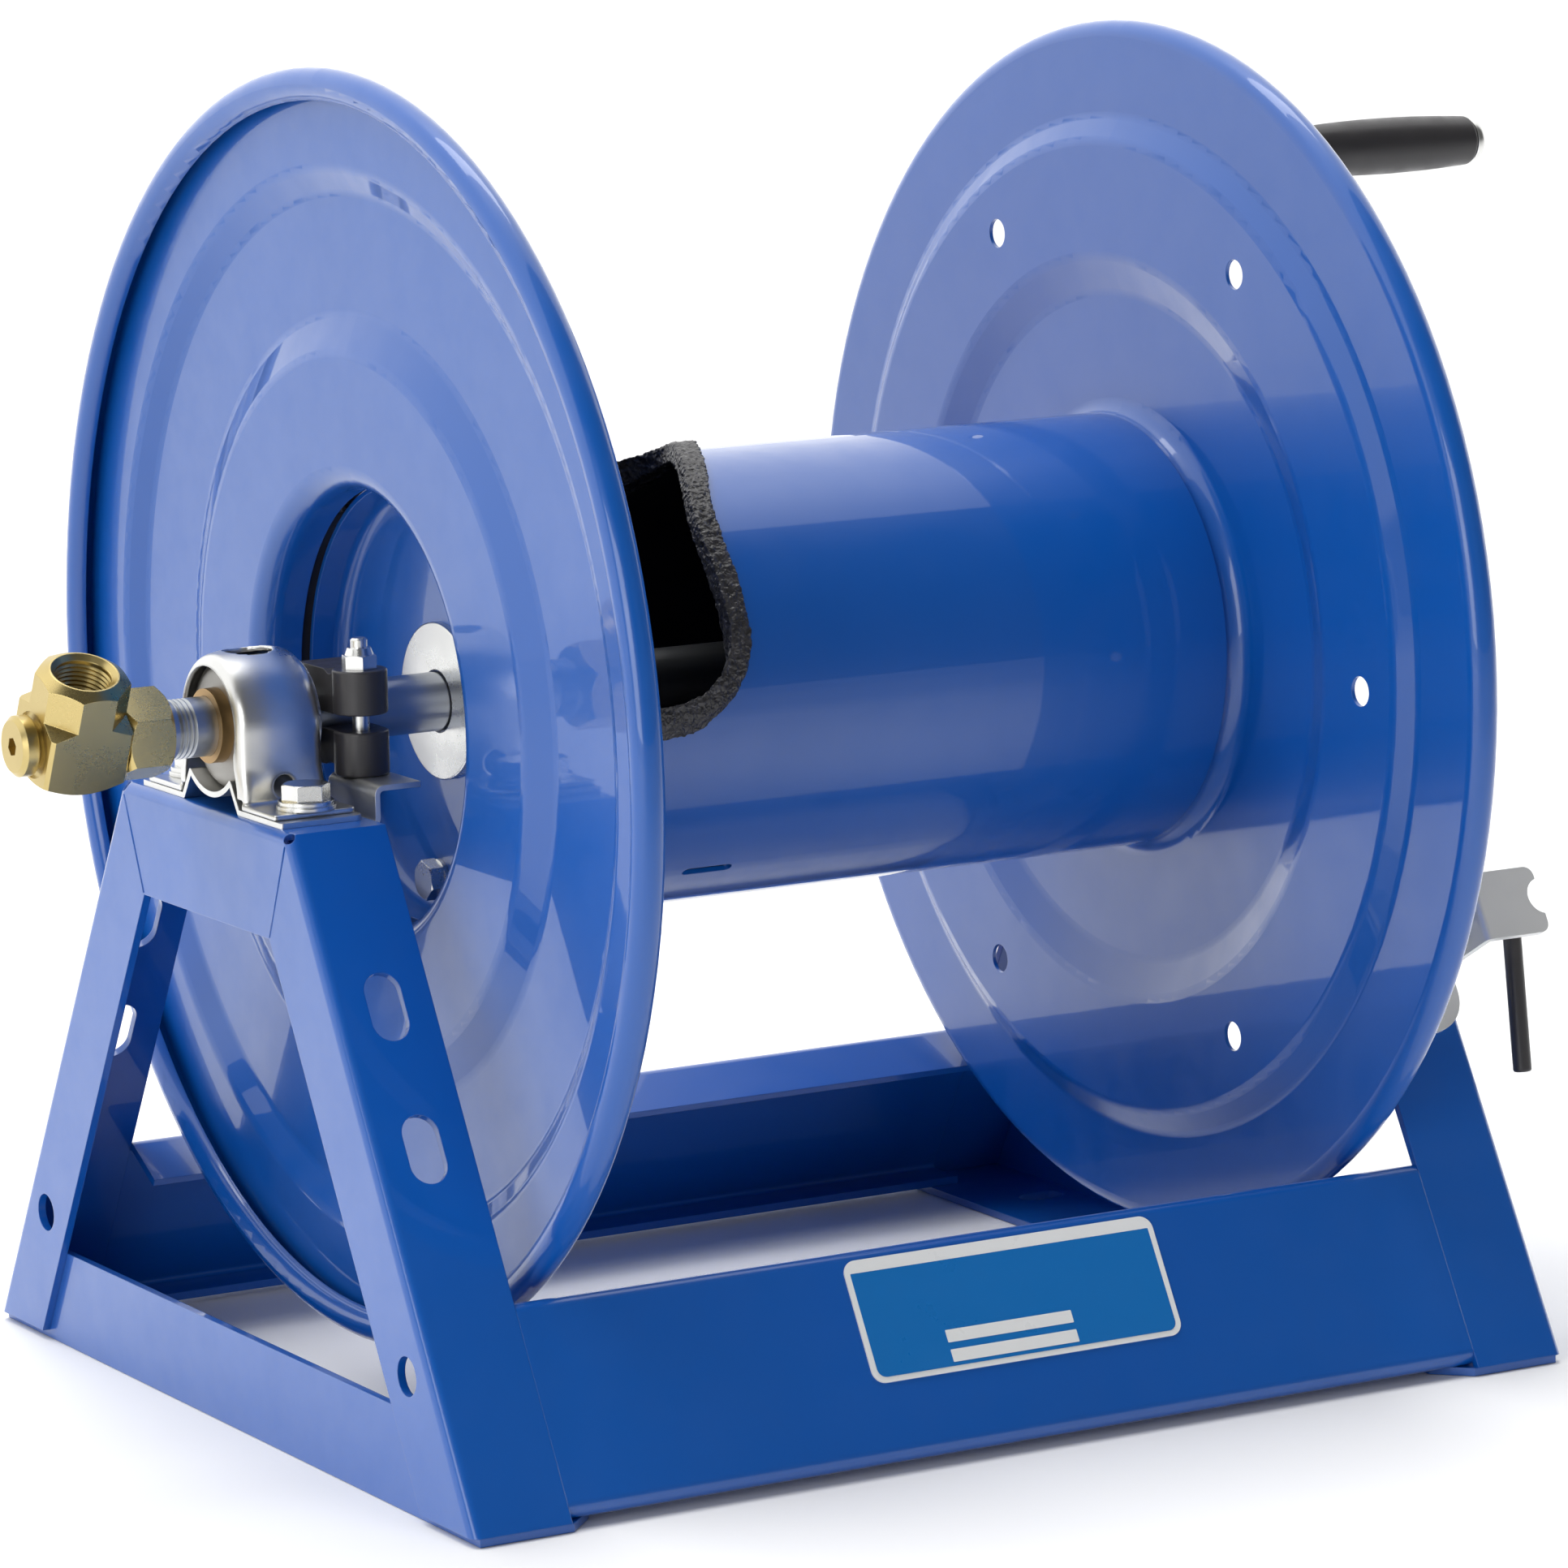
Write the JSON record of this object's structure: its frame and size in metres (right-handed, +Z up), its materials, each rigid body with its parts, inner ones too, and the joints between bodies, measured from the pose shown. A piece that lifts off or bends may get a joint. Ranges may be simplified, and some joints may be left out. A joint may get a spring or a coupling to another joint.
{
  "type": "hose reel",
  "caption": "Hand-cranked fire hose reel: a drum between ribbed discs on a base with A stands, with an inlet swivel, drag brake, crank and pin lock.",
  "frame": {"origin": "on the floor, at the centre of the four slotted base holes, under the middle of the drum", "axes": "+X along the axle from the inlet to the crank, +Z up, +Y to the back, away from the name plate"},
  "size_m": [0.6429, 0.4572, 0.4826],
  "materials": {
    "blue_coat": "glossy blue powder coat with slight orange peel",
    "label": "satin printed sheet, blank",
    "zinc_pressing": "bright zinc plate, lightly scuffed",
    "cast_insert": "dark machined casting",
    "bronze": "dull sintered bronze",
    "zinc_hardware": "bright zinc plate",
    "pipe_steel": "grey plated pipe",
    "brass": "machined brass, slightly tarnished",
    "black_rubber": "crinkled black rubber",
    "black_plastic": "satin black moulding"
  },
  "bodies": {
    "frame": {"near_stand": "blue_coat", "far_stand": "blue_coat", "near_crossbar": "blue_coat", "far_crossbar": "blue_coat", "front_rail": "blue_coat", "back_rail": "blue_coat", "name_plate": "label", "near_bearing_cradle": "zinc_pressing", "far_bearing_cradle": "zinc_pressing", "near_bearing_cap": "zinc_pressing", "far_bearing_cap": "zinc_pressing", "near_bearing_insert": "cast_insert", "far_bearing_insert": "cast_insert", "near_bearing_bush": "bronze", "far_bearing_bush": "bronze", "bearing_bolts": "zinc_hardware", "bearing_washers": "zinc_hardware", "bearing_nuts": "zinc_hardware", "brake_bracket": "zinc_pressing", "brake_lower_shoe": "black_plastic", "brake_upper_shoe": "black_plastic", "brake_bolt": "zinc_hardware", "brake_nut": "zinc_hardware", "lock_bracket": "zinc_pressing", "lock_bolts": "zinc_hardware", "lock_nuts": "zinc_hardware"},
    "drum": {"near_disc": "blue_coat", "far_disc": "blue_coat", "drum_shell": "blue_coat", "slot_trim": "black_rubber", "near_hub_cup": "blue_coat", "far_hub_cup": "blue_coat", "near_hub_washer": "zinc_hardware", "far_hub_washer": "zinc_hardware", "tie_rods": "zinc_hardware", "tie_rod_nuts": "zinc_hardware", "axle": "pipe_steel", "riser_stub": "pipe_steel", "riser_elbow": "pipe_steel", "outlet_nipple": "pipe_steel", "crank_hub": "zinc_hardware", "crank_arm": "zinc_hardware", "crank_set_screw": "zinc_hardware", "grip_spindle": "zinc_hardware", "swivel_stem": "brass"},
    "crank_grip": {"crank_grip": "black_plastic"},
    "swivel": {"swivel_body": "brass", "swivel_end_cap": "brass", "swivel_seal": "black_rubber"},
    "lock_collar": {"lock_clip": "zinc_hardware", "lock_spring": "zinc_hardware"},
    "lock_pin": {"lock_pin": "zinc_hardware", "lock_handle_sleeve": "black_plastic"}
  },
  "joints": [
    {"name": "drum_spin", "type": "hinge", "parent": "frame", "child": "drum", "pos_m": [0, 0, 0.254], "axis": [1, 0, 0], "continuous": true},
    {"name": "grip_spin", "type": "hinge", "parent": "drum", "child": "crank_grip", "pos_m": [0.3, 0.03, 0.426], "axis": [1, 0, 0], "continuous": true},
    {"name": "swivel_turn", "type": "hinge", "parent": "drum", "child": "swivel", "pos_m": [-0.28, 0, 0.254], "axis": [1, 0, 0], "continuous": true},
    {"name": "lock_pull", "type": "slide", "parent": "frame", "child": "lock_collar", "axis": [1, 0, 0], "range_m": [0, 0.009], "stiffness_N_per_m": 300, "springref_m": -0.02},
    {"name": "lock_turn", "type": "hinge", "parent": "lock_collar", "child": "lock_pin", "pos_m": [0.2, -0.13083, 0.15459], "axis": [1, 0, 0], "range_deg": [-5, 100]}
  ]
}
